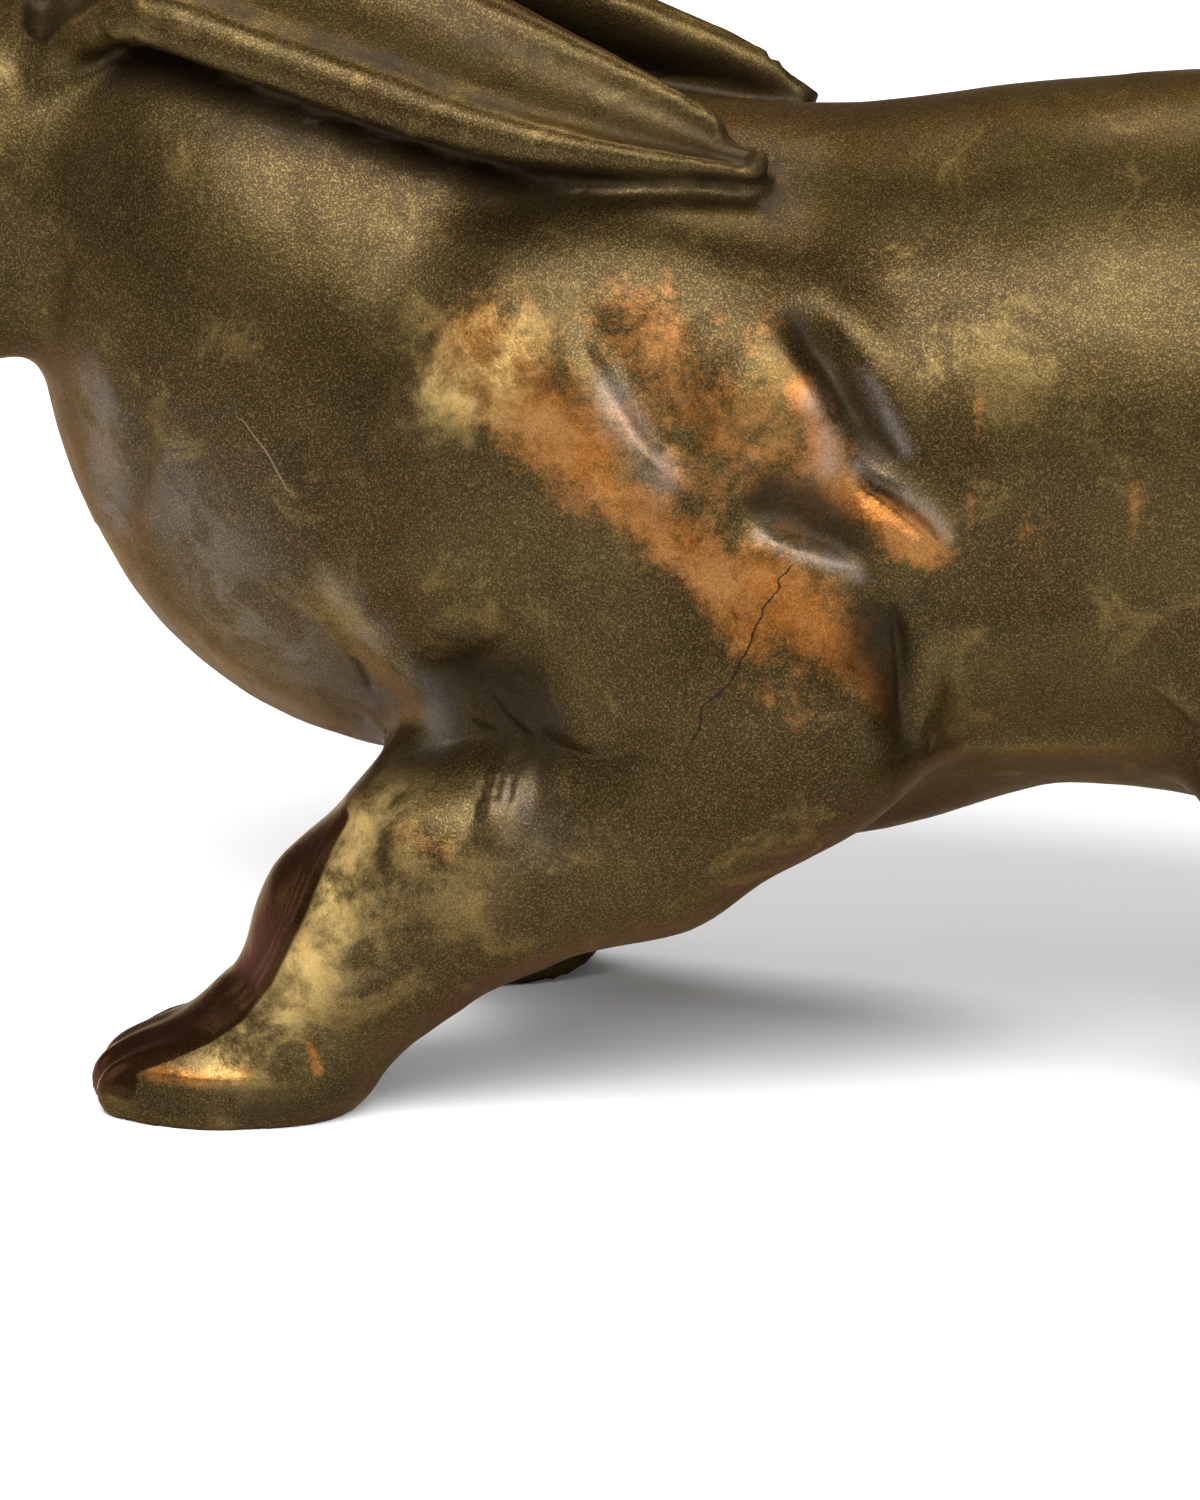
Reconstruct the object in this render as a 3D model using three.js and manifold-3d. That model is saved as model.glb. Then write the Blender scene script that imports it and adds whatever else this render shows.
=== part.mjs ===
// A cast bronze rabbit standing on its own four paws: forelegs reaching forward, head raised, ears laid back.
// It is one solid. The body is modelled as a sculptor builds up clay: rounded masses that run into each other,
// with creases cut and folds laid on afterwards, and the soles ground flat so that it stands.
// Millimetres, +Z up. The rabbit faces -X, its left side is -Y, and the origin is on the ground under the middle
// of its box.
import * as THREE from "three";
import Module from "manifold-3d";
import { mergeVertices } from "three/addons/utils/BufferGeometryUtils.js";

// The length from nose to tail drives the whole figure: pose, proportions and carving are shares of it.
const LENGTH = 347;
const FIGURE = 347; // the length at which the numbers of the anatomy below read as millimetres
const UNIT = LENGTH / FIGURE;

// Sizes that can be set by themselves, at that length.
const STANCE = 36; // from the middle plane to the middle of a paw
const STRIDE = 22; // how far the left forepaw leads the right one
const EAR_WIDTH = 31;
const EAR_DEPTH = 6.5;
const EYE_RADIUS = 7;
const TOE_WIDTH = 9;
const SOLE_GRIND = 1.5; // how much is ground off under the paws

// How finely the surface is found, and how many facets it keeps.
const SAMPLE_STEP = 2.9;
const TRIANGLES = 9400;
const BLOCK = 4; // the grid is walked in blocks of this many points

const BRONZE = { color: 0x6b5a2c, roughness: 0.38, metalness: 0.9 };

// Blending widths: how softly one mass runs into the next.
const SOFT = 26;
const FIRM = 12;
const TIGHT = 5;
const NECK_FILLET = 8;
const HEAD_FILLET = 8;

const clamp = (v, low, high) => Math.min(Math.max(v, low), high);
const smoothstep = (low, high, v) => {
  const t = clamp((v - low) / (high - low), 0, 1);
  return t * t * (3 - 2 * t);
};

// Joins two forms with a fillet between them, or cuts the second out of the first with a rounded edge.
function join(a, b, width) {
  const h = Math.max(width - Math.abs(a - b), 0) / width;
  return Math.min(a, b) - (h * h * width) / 4;
}
const carve = (a, b, width) => -join(-a, b, width);

// Every form is a function of a point that gives its distance to the surface, negative inside.
// An egg is pitched about Y (positive lifts its -X end) and yawed about Z.
function egg([cx, cy, cz], [rx, ry, rz], pitch = 0, yaw = 0) {
  const [sp, cp] = [Math.sin(THREE.MathUtils.degToRad(pitch)), Math.cos(THREE.MathUtils.degToRad(pitch))];
  const [sy, cyaw] = [Math.sin(THREE.MathUtils.degToRad(yaw)), Math.cos(THREE.MathUtils.degToRad(yaw))];
  return (x, y, z) => {
    const [dx, dy, dz] = [x - cx, y - cy, z - cz];
    const along = dx * cyaw + dy * sy;
    const px = (along * cp - dz * sp) / rx;
    const py = (dy * cyaw - dx * sy) / ry;
    const pz = (along * sp + dz * cp) / rz;
    const near = Math.hypot(px, py, pz);
    const slope = Math.hypot(px / rx, py / ry, pz / rz);
    return slope < 1e-9 ? -Math.min(rx, ry, rz) : (near * (near - 1)) / slope;
  };
}

// A limb runs from joint to joint, each joint with its own radius.
function limb(joints, blend = TIGHT) {
  return (x, y, z) => {
    let best = Infinity;
    for (let i = 0; i + 1 < joints.length; i++) {
      const [ax, ay, az, ar] = joints[i];
      const [bx, by, bz, br] = joints[i + 1];
      const [ex, ey, ez] = [bx - ax, by - ay, bz - az];
      const [px, py, pz] = [x - ax, y - ay, z - az];
      const t = clamp((px * ex + py * ey + pz * ez) / (ex * ex + ey * ey + ez * ez), 0, 1);
      const d = Math.hypot(px - ex * t, py - ey * t, pz - ez * t) - (ar + (br - ar) * t);
      best = i ? join(best, d, blend) : d;
    }
    return best;
  };
}

const blend = (forms, width, x, y, z) => forms.reduce((sum, form) => join(sum, form(x, y, z), width), Infinity);

// The trunk: chest, ribs, loin and rump run softly into each other. The breast hangs below the ribs, between the
// upper arms.
const trunk = [
  egg([-22, 0, 101], [59, 41, 52.5]),
  egg([34, 0, 99], [60, 46, 50], -4),
  egg([94, 0, 104], [62, 48, 54], 3),
  egg([138, 0, 96], [47, 46, 56], -16),
];
const breast = egg([26, 0, 66], [46, 26, 29], -3);
const neck = [
  egg([-40, 0, 124], [35, 31, 33], 34),
  egg([-64, 0, 139], [24, 22, 24], 24),
];

// One side of the body: shoulder, upper arm, haunch and knee. s is -1 on the left and 1 on the right.
const flank = (s) => [
  egg([12, 33 * s, 100], [42, 20, 42], -28),
  egg([28, 36 * s, 78], [27, 19, 26], -34),
  egg([142, 33 * s, 76], [45, 24, 52], 24),
  egg([138, 38 * s, 60], [25, 19, 26], 20),
];

const foreleg = (s, back) => [
  limb([
    [33 + back, STANCE * s, 67, 20],
    [13 + back, STANCE * s, 51, 18],
    [-15.2 + back, STANCE * s, 41.2, 18.2],
    [-29.2 + back, STANCE * s, 29.2, 16.4],
    [-39 + back, STANCE * s, 15, 12.5],
  ]),
  egg([-50.5 + back, STANCE * s, 6], [19.5, 15, 11], -14),
];

const shank = (s) => [
  limb([
    [134, (STANCE + 3) * s, 48, 20],
    [162, (STANCE + 4) * s, 32, 19],
    [184, (STANCE + 4) * s, 18, 13],
  ]),
  limb([
    [187, (STANCE + 4) * s, 10, 11],
    [150, (STANCE + 5) * s, 9, 12.5],
    [122, (STANCE + 6) * s, 6.5, 12],
  ]),
];

// Four toes fan out at the front of each paw.
const toes = (s, x, reach) =>
  [-1.5, -0.5, 0.5, 1.5].map((n) => {
    const at = STANCE * s + n * TOE_WIDTH * 0.8;
    return egg([x + Math.abs(n) * 2.2, at, 6.2], [reach, TOE_WIDTH * 0.52, 7], -8, n * 5);
  });

// The head, in its own frame: its middle is between the eyes and ears, and it is tipped up a little.
const HEAD_AT = [-101, 0, 139];
const HEAD_PITCH = THREE.MathUtils.degToRad(8);
const headFrame = (x, y, z) => {
  const [dx, dz] = [x - HEAD_AT[0], z - HEAD_AT[2]];
  const [s, c] = [Math.sin(HEAD_PITCH), Math.cos(HEAD_PITCH)];
  return [dx * c - dz * s, y, dx * s + dz * c];
};
const skull = [
  egg([8, 0, 5], [28, 21, 23], 4),
  egg([-10, 0, 3], [31, 15, 17], -15),
  egg([-36, 0, 0], [7, 6, 6.5]),
  egg([-24, 0, -14], [12, 8, 7], 8),
];
const cheek = (s) => egg([4, 11 * s, -10], [20, 13.5, 20], 10);
const lip = (s) => egg([-29, 5.5 * s, -5], [12, 9, 10.5], 0, 8 * s);
const brow = (s) => egg([-6, 14 * s, 14], [12, 6.5, 4.5], 6);
const EYE_AT = [-8, 18.5, 6];
const SOCKET_OUT = 9; // the hollow round the eye is cut from this far outside the eye's middle
const eyeHollow = (s) =>
  egg([EYE_AT[0], (EYE_AT[1] + SOCKET_OUT) * s, EYE_AT[2]], [EYE_RADIUS * 1.5, EYE_RADIUS, EYE_RADIUS * 1.25]);
const eyeBall = (s) => egg([EYE_AT[0], EYE_AT[1] * s, EYE_AT[2]], [EYE_RADIUS, EYE_RADIUS, EYE_RADIUS]);

// An ear is a long blade that lies back along the neck, with a hollow down its outer face.
const EAR_STATIONS = 16;
const earLine = (s) =>
  new THREE.CatmullRomCurve3([
    new THREE.Vector3(-86, 8 * s, 157),
    new THREE.Vector3(-68, 15 * s, 172),
    new THREE.Vector3(-38, 21 * s, 167),
    new THREE.Vector3(-6, 25 * s, 157),
    new THREE.Vector3(26, 26 * s, 149),
  ]);
const earShare = (t) => Math.sqrt(clamp(Math.sin(Math.PI * Math.pow(clamp(t, 0.05, 0.985), 0.8)), 0.02, 1));

function earForm(s, width, depth, lift) {
  const curve = earLine(s);
  const outward = new THREE.Vector3(0, 0.62 * s, 0.78);
  const stations = [];
  for (let i = 0; i <= EAR_STATIONS; i++) {
    const share = earShare(i / EAR_STATIONS);
    const at = curve.getPointAt(i / EAR_STATIONS).addScaledVector(outward, lift * share);
    const face = outward.clone().projectOnPlane(curve.getTangentAt(i / EAR_STATIONS)).normalize();
    stations.push({ at, face, half: (width / 2) * share, thick: depth * (0.45 + 0.55 * share) });
  }
  const [along, side, face] = [new THREE.Vector3(), new THREE.Vector3(), new THREE.Vector3()];
  const [offset, point] = [new THREE.Vector3(), new THREE.Vector3()];
  return (x, y, z) => {
    if (z < 120 || x > 60) return 40;
    point.set(x, y, z);
    let nearest = Infinity;
    let value = 40;
    for (let i = 0; i < EAR_STATIONS; i++) {
      const [from, to] = [stations[i], stations[i + 1]];
      along.subVectors(to.at, from.at);
      offset.subVectors(point, from.at);
      const t = clamp(offset.dot(along) / along.lengthSq(), 0, 1);
      offset.addScaledVector(along, -t);
      const gap = offset.lengthSq();
      if (gap >= nearest) continue;
      nearest = gap;
      face.lerpVectors(from.face, to.face, t).normalize();
      side.crossVectors(along.normalize(), face);
      const [half, thick] = [from.half + (to.half - from.half) * t, from.thick + (to.thick - from.thick) * t];
      const past = (i === 0 && t === 0) || (i === EAR_STATIONS - 1 && t === 1) ? offset.dot(along) / thick : 0;
      const [a, b] = [offset.dot(side) / half, offset.dot(face) / thick];
      const near = Math.hypot(a, b, past);
      const slope = Math.hypot(a / half, b / thick, past / thick);
      value = slope < 1e-9 ? -thick : (near * (near - 1)) / slope;
    }
    return value;
  };
}

// A fold lies along a line drawn on the side of the body, as [x, z] points with z above the ground sole. A height
// below zero makes a crease.
function fold(line, width, height) {
  let length = 0;
  const spans = line.slice(1).map(([bx, bz], i) => {
    const [ax, az] = line[i];
    const span = { ax, az, ex: bx - ax, ez: bz - az, size: Math.hypot(bx - ax, bz - az), from: length };
    length += span.size;
    return span;
  });
  return (x, z) => {
    let best = Infinity;
    let at = 0;
    for (const { ax, az, ex, ez, size, from } of spans) {
      const t = clamp(((x - ax) * ex + (z - az) * ez) / (size * size), 0, 1);
      const gap = Math.hypot(x - ax - ex * t, z - az - ez * t);
      if (gap >= best) continue;
      best = gap;
      at = from + t * size;
    }
    if (best > 2.5 * width) return 0;
    const taper = smoothstep(0, 0.35 * length, Math.min(at, length - at) + 0.06 * length);
    return height * taper * Math.exp(-((best / width) ** 2));
  };
}

// Drawn from the left side: loose skin gathered behind the shoulder blade, the line behind the upper arm,
// the armpit, the breast, and the edge of the flank above the belly.
const FOLDS = [
  fold([[6, 125], [14, 112], [21, 102]], 3.6, 2.6),
  fold([[10.5, 124], [18, 110], [22, 104]], 2.8, -3.2),
  fold([[28, 101], [37, 95.5], [49, 91]], 3.8, 2.8),
  fold([[31, 105.5], [41, 100.5], [50, 95]], 3.8, -3.6),
  fold([[39, 109], [52, 99.5], [62, 93]], 4, 3.0),
  fold([[36, 127], [45, 116], [53, 108]], 3.6, -3.6),
  fold([[45, 125], [51, 117], [56, 108], [61, 99]], 3.6, 2.4),
  fold([[50, 90], [54.5, 78], [55, 62]], 4.4, -4.2),
  fold([[56, 72], [68, 69.5], [82, 67], [98, 66]], 4.5, 1.4),
  fold([[-26, 61], [-15, 64.5], [-2, 62], [8, 60.5], [20, 63]], 3.6, -2.6),
  fold([[-17, 73], [-8, 70], [2, 67]], 8, -4.2),
  fold([[-37, 88], [-28, 74], [-21, 62]], 6, 1.6),
  fold([[-50, 104], [-43, 95]], 4, -1.0),
];
const FAR_SHARE = 0.7; // the folds are plainer on the right side

const sides = [-1, 1].map((s) => {
  const back = s < 0 ? 0 : STRIDE;
  return {
    s,
    masses: flank(s),
    limbs: [...foreleg(s, back), ...shank(s)],
    toes: [...toes(s, -60 + back, 13), ...toes(s * (1 + 5 / STANCE), 118, 14)],
    head: [cheek(s), brow(s), lip(s)],
    eyeHollow: eyeHollow(s),
    eyeBall: eyeBall(s),
    ear: earForm(s, EAR_WIDTH, EAR_DEPTH, 0),
    earHollow: earForm(s, EAR_WIDTH * 0.6, EAR_DEPTH * 0.6, EAR_DEPTH * 0.95),
  };
});
const tail = [
  egg([187, 0, 91], [14, 14, 20], -22),
];

function anatomy(x, y, z) {
  let d = blend(trunk, SOFT, x, y, z);
  d = join(d, blend(neck, SOFT, x, y, z), SOFT);
  d = join(d, breast(x, y, z), FIRM);
  for (const { masses, limbs } of sides) {
    for (const form of masses) d = join(d, form(x, y, z), FIRM);
    for (const form of limbs) d = join(d, form(x, y, z), FIRM);
  }
  if (x < -40) {
    const p = headFrame(x, y, z);
    let head = blend(skull, HEAD_FILLET, ...p);
    for (const { head: parts } of sides) head = join(head, blend(parts, HEAD_FILLET, ...p), HEAD_FILLET);
    for (const side of sides) head = join(carve(head, side.eyeHollow(...p), 4), side.eyeBall(...p), 1.5);
    d = join(d, head, NECK_FILLET);
  }
  d = join(d, blend(tail, FIRM, x, y, z), TIGHT);
  for (const side of sides) {
    if (z < 20) for (const form of side.toes) d = join(d, form(x, y, z), 3);
    const ear = carve(side.ear(x, y, z), side.earHollow(x, y, z), 3);
    d = join(d, ear, TIGHT);
    if (Math.abs(d) > 12 || y * side.s < 14) continue;
    const relief = FOLDS.reduce((sum, lay) => sum + lay(x, z - SOLE_GRIND), 0);
    d -= relief * smoothstep(14, 30, y * side.s) * (side.s < 0 ? 1 : FAR_SHARE);
  }
  return d;
}

// The same anatomy at the real length.
export const figure = (x, y, z) => UNIT * anatomy(x / UNIT, y / UNIT, z / UNIT);

// Finds the surface of a form on a grid: one vertex in each cell that the surface crosses, and the four cells
// round each crossed edge joined by two triangles.
export function skin(form, low, high, step) {
  const [nx, ny, nz] = low.map((v, i) => Math.ceil((high[i] - v) / step) + 1);
  const index = (i, j, k) => i + nx * (j + ny * k);
  const value = new Float64Array(nx * ny * nz);
  const at = (n, m) => low[m] + n * step;
  for (let k = 0; k < nz; k += BLOCK) {
    for (let j = 0; j < ny; j += BLOCK) {
      for (let i = 0; i < nx; i += BLOCK) {
        // A block that lies far from the surface takes the value of its middle.
        const half = (BLOCK - 1) / 2;
        const middle = form(at(i + half, 0), at(j + half, 1), at(k + half, 2));
        const far = Math.abs(middle) > 1.4 * Math.sqrt(3) * (half + 1) * step;
        for (let c = k; c < Math.min(k + BLOCK, nz); c++) {
          for (let b = j; b < Math.min(j + BLOCK, ny); b++) {
            for (let a = i; a < Math.min(i + BLOCK, nx); a++) {
              value[index(a, b, c)] = far ? middle : form(at(a, 0), at(b, 1), at(c, 2));
            }
          }
        }
      }
    }
  }
  const corner = (c) => [c & 1, (c >> 1) & 1, (c >> 2) & 1];
  const stride = [1, nx, nx * ny];
  // Where two parts of the inside meet only across the corner of a grid square, the corner between them is
  // filled, so that the surface stays one skin.
  for (let filled = true; filled; ) {
    filled = false;
    for (let start = 0; start < value.length - stride[1] - stride[2]; start++) {
      for (let axis = 0; axis < 3; axis++) {
        const [u, v] = [stride[axis], stride[(axis + 1) % 3]];
        const inside = [start, start + u, start + u + v, start + v].map((n) => value[n] < 0);
        if (inside[0] !== inside[2] || inside[1] !== inside[3] || inside[0] === inside[1]) continue;
        const open = inside[0] ? [start + u, start + v] : [start, start + u + v];
        value[value[open[0]] < value[open[1]] ? open[0] : open[1]] = -0.02 * step;
        filled = true;
      }
    }
  }
  const vertexOf = new Map();
  const points = [];
  for (let cell = 0; cell < value.length - stride[2] - nx - 1; cell++) {
    const place = [cell % nx, Math.floor(cell / nx) % ny, Math.floor(cell / stride[2])];
    if (place[0] + 1 >= nx || place[1] + 1 >= ny) continue;
    const sum = [0, 0, 0];
    let crossings = 0;
    for (let c = 0; c < 8; c++) {
      const from = corner(c);
      const start = cell + from[0] + from[1] * nx + from[2] * stride[2];
      for (let axis = 0; axis < 3; axis++) {
        if (from[axis]) continue;
        const [a, b] = [value[start], value[start + stride[axis]]];
        if (a < 0 === b < 0) continue;
        for (let m = 0; m < 3; m++) sum[m] += from[m];
        sum[axis] += a / (a - b);
        crossings++;
      }
    }
    if (!crossings) continue;
    vertexOf.set(cell, points.length);
    points.push(place.map((n, m) => at(n + sum[m] / crossings, m)));
  }
  const triangles = [];
  for (let k = 1; k + 1 < nz; k++) {
    for (let j = 1; j + 1 < ny; j++) {
      for (let i = 1; i + 1 < nx; i++) {
        const start = index(i, j, k);
        const inside = value[start] < 0;
        for (let axis = 0; axis < 3; axis++) {
          if (inside === value[start + stride[axis]] < 0) continue;
          const [u, v] = [stride[(axis + 1) % 3], stride[(axis + 2) % 3]];
          const ring = [start - u - v, start - v, start, start - u].map((cell) => vertexOf.get(cell));
          const [a, b, c, e] = inside ? ring : [...ring].reverse();
          triangles.push([a, b, c], [a, c, e]);
        }
      }
    }
  }
  return { points, triangles };
}

// Moves each point onto the surface of the form, along the form's own slope.
function settle(form, points, rounds) {
  const h = 0.05;
  for (const p of points) {
    for (let i = 0; i < rounds; i++) {
      const d = form(...p);
      const slope = [0, 1, 2].map((m) => {
        const q = [...p];
        q[m] += h;
        return (form(...q) - d) / h;
      });
      const steep = Math.max(slope[0] ** 2 + slope[1] ** 2 + slope[2] ** 2, 0.25);
      for (let m = 0; m < 3; m++) p[m] -= (clamp(d, -1, 1) * slope[m]) / steep;
    }
  }
}

const minus = (a, b) => [a[0] - b[0], a[1] - b[1], a[2] - b[2]];
const dot = (a, b) => a[0] * b[0] + a[1] * b[1] + a[2] * b[2];
const cross = (a, b) => [a[1] * b[2] - a[2] * b[1], a[2] * b[0] - a[0] * b[2], a[0] * b[1] - a[1] * b[0]];
const facing = (a, b, c) => cross(minus(b, a), minus(c, a));

// A heap that gives back the cheapest entry first.
class Cheapest {
  entries = [];
  push(entry) {
    const list = this.entries;
    let at = list.push(entry) - 1;
    while (at > 0) {
      const up = (at - 1) >> 1;
      if (list[up].cost <= entry.cost) break;
      list[at] = list[up];
      at = up;
    }
    list[at] = entry;
  }
  pop() {
    const list = this.entries;
    const top = list[0];
    const last = list.pop();
    if (!list.length) return top;
    let at = 0;
    for (;;) {
      let down = 2 * at + 1;
      if (down >= list.length) break;
      if (down + 1 < list.length && list[down + 1].cost < list[down].cost) down++;
      if (list[down].cost >= last.cost) break;
      list[at] = list[down];
      at = down;
    }
    list[at] = last;
    return top;
  }
}

// Thins a closed surface to the number of triangles wanted: edges are drawn together into one point where
// that moves the surface least, as measured by the distance to the planes of the triangles that met there.
function thin(points, triangles, wanted) {
  const faces = triangles.map((t) => [...t]);
  const around = points.map(() => new Set());
  faces.forEach((face, f) => face.forEach((v) => around[v].add(f)));
  const quadric = points.map(() => new Float64Array(10));
  for (const [a, b, c] of faces) {
    const n = facing(points[a], points[b], points[c]);
    const size = Math.hypot(...n) || 1;
    const plane = [...n.map((v) => v / size), 0];
    plane[3] = -dot(plane, points[a]);
    for (const v of [a, b, c]) {
      let k = 0;
      for (let i = 0; i < 4; i++) for (let j = i; j < 4; j++) quadric[v][k++] += plane[i] * plane[j] * size;
    }
  }
  const errorAt = (q, [x, y, z]) =>
    q[0] * x * x + 2 * q[1] * x * y + 2 * q[2] * x * z + 2 * q[3] * x + q[4] * y * y +
    2 * q[5] * y * z + 2 * q[6] * y + q[7] * z * z + 2 * q[8] * z + q[9];
  const version = new Uint32Array(points.length);
  const heap = new Cheapest();
  const ROUNDNESS = 0.004; // a small cost on length keeps the facets even where the surface is flat
  const offer = (a, b) => {
    const q = quadric[a].map((v, i) => v + quadric[b][i]);
    const [p, r] = [points[a], points[b]];
    const middle = [(p[0] + r[0]) / 2, (p[1] + r[1]) / 2, (p[2] + r[2]) / 2];
    const spots = [middle, p, r];
    const m = new THREE.Matrix3().set(q[0], q[1], q[2], q[1], q[4], q[5], q[2], q[5], q[7]);
    if (Math.abs(m.determinant()) > 1e-3) {
      const best = new THREE.Vector3(-q[3], -q[6], -q[8]).applyMatrix3(m.invert()).toArray();
      if (Math.hypot(...minus(best, middle)) < SAMPLE_STEP * 1.5) spots.push(best);
    }
    const costs = spots.map((spot) => Math.max(errorAt(q, spot), 0));
    const pick = costs.indexOf(Math.min(...costs));
    const cost = costs[pick] + ROUNDNESS * dot(minus(p, r), minus(p, r)) ** 2;
    heap.push({ cost, a, b, spot: spots[pick], age: version[a] + version[b] });
  };
  const neighbours = (v) => {
    const ring = new Set();
    for (const f of around[v]) for (const w of faces[f]) if (w !== v) ring.add(w);
    return ring;
  };
  points.forEach((_, v) => neighbours(v).forEach((w) => v < w && offer(v, w)));
  const turns = (v, other, spot) => {
    for (const f of around[v]) {
      const face = faces[f];
      if (face.includes(other)) continue;
      const before = facing(...face.map((w) => points[w]));
      const after = facing(...face.map((w) => (w === v ? spot : points[w])));
      if (dot(before, after) < 0.3 * Math.hypot(...before) * Math.hypot(...after)) return true;
    }
    return false;
  };
  let left = faces.length;
  while (left > wanted && heap.entries.length) {
    const { a, b, spot, age } = heap.pop();
    if (!around[a].size || !around[b].size || age !== version[a] + version[b]) continue;
    const [ringA, ringB] = [neighbours(a), neighbours(b)];
    if (!ringA.has(b)) continue;
    const shared = [...ringA].filter((v) => ringB.has(v));
    if (shared.length !== 2 || shared.some((v) => around[v].size < 4)) continue;
    if (turns(a, b, spot) || turns(b, a, spot)) continue;
    for (const f of [...around[b]]) {
      const face = faces[f];
      if (face.includes(a)) {
        face.forEach((v) => around[v].delete(f));
        faces[f] = null;
        left--;
      } else {
        face[face.indexOf(b)] = a;
        around[a].add(f);
      }
    }
    around[b].clear();
    points[a] = spot;
    quadric[a].forEach((v, i) => (quadric[a][i] = v + quadric[b][i]));
    version[a] += version[b] + 1;
    for (const v of neighbours(a)) offer(Math.min(a, v), Math.max(a, v));
  }
  const used = new Map();
  const kept = [];
  const triangle = faces.filter(Boolean).map((face) =>
    face.map((v) => {
      if (!used.has(v)) used.set(v, kept.push(points[v]) - 1);
      return used.get(v);
    }),
  );
  return { points: kept, triangles: triangle };
}

// The space that the figure is looked for in.
const LOW = [-160, -78, -18].map((v) => v * UNIT);
const HIGH = [220, 78, 200].map((v) => v * UNIT);

const rough = skin(figure, LOW, HIGH, SAMPLE_STEP * UNIT);
settle(figure, rough.points, 2);
const fine = thin(rough.points, rough.triangles, TRIANGLES);
settle(figure, fine.points, 2);

const wasm = await Module();
wasm.setup();

function solidOf(positions, indices) {
  const mesh = new wasm.Mesh({
    numProp: 3,
    vertProperties: new Float32Array(positions),
    triVerts: new Uint32Array(indices),
  });
  return new wasm.Manifold(mesh);
}

// Grinding the soles: everything below the ground is cut away with one block.
const GROUND = SOLE_GRIND * UNIT;
const block = new THREE.BoxGeometry(HIGH[0] - LOW[0], HIGH[1] - LOW[1], GROUND - 2 * LOW[2]);
block.translate((LOW[0] + HIGH[0]) / 2, 0, GROUND - block.parameters.depth / 2);
block.deleteAttribute("normal");
block.deleteAttribute("uv");
const merged = mergeVertices(block);
const whole = solidOf(fine.points.flat(), fine.triangles.flat());
const ground = solidOf(merged.attributes.position.array, merged.index.array);
const stood = whole.subtract(ground).getMesh();

const geometry = new THREE.BufferGeometry();
geometry.setAttribute("position", new THREE.BufferAttribute(stood.vertProperties, 3));
geometry.setIndex(new THREE.BufferAttribute(stood.triVerts, 1));
geometry.computeBoundingBox();
const middle = geometry.boundingBox.getCenter(new THREE.Vector3());
geometry.translate(-middle.x, -middle.y, -geometry.boundingBox.min.z);

const rabbit = new THREE.Mesh(geometry, new THREE.MeshStandardMaterial(BRONZE));
rabbit.name = "rabbit";

const sculpture = new THREE.Group();
sculpture.add(rabbit);
export default sculpture;
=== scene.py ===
# %% [markdown]
# A bronze rabbit, seen close from its left front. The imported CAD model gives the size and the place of
# everything. This script lays a finer skin over it, carves the small folds, and gives it its patina.

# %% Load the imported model
import math
import bmesh
import bpy
import numpy as np
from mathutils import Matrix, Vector, noise


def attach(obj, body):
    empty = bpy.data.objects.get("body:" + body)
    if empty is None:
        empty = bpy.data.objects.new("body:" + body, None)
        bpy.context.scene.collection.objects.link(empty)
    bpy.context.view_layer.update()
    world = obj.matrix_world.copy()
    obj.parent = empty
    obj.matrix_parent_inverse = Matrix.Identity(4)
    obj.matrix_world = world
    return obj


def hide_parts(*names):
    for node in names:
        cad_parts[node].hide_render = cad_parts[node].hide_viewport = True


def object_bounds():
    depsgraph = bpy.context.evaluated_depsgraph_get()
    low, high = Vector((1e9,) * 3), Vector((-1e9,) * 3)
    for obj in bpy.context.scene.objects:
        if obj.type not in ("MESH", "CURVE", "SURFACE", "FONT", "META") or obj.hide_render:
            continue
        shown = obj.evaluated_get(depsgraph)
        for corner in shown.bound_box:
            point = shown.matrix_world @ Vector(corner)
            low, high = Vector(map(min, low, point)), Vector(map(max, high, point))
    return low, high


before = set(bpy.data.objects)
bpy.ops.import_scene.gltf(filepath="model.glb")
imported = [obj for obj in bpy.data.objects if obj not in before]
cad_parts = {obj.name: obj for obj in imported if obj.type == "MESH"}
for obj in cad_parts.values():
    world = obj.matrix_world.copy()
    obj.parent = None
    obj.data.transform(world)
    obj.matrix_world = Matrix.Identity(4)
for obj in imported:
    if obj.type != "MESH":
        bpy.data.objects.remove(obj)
loaded_size = [list(corner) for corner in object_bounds()]
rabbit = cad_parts["rabbit"]
print("CAD box:", [[round(v, 4) for v in corner] for corner in loaded_size])

# %% [markdown]
# The sculpture's anatomy is written down as a function: for any point it gives the distance to the surface
# of the clay, in millimetres, negative inside. Rounded masses are joined by a smooth minimum, as clay is
# pressed together. The numbers are the same as in the CAD model, so the fine skin and the solid agree.

# %% How forms are joined and cut
MM = 0.001
# The model's origin, in the coordinates that the anatomy is drawn in.
DRAWN_AT = np.array([28.22, -0.04, 1.5])


def smoothstep(low, high, v):
    t = np.clip((v - low) / (high - low), 0, 1)
    return t * t * (3 - 2 * t)


def join(a, b, width):
    h = np.maximum(width - np.abs(a - b), 0) / width
    return np.minimum(a, b) - h * h * width / 4


def carve(a, b, width):
    return -join(-a, b, width)


def only(p, where, form):
    """The form's value where it matters, and a long way off elsewhere."""
    out = np.full(len(p), 40.0)
    if where.any():
        out[where] = form(p[where])
    return out


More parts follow.
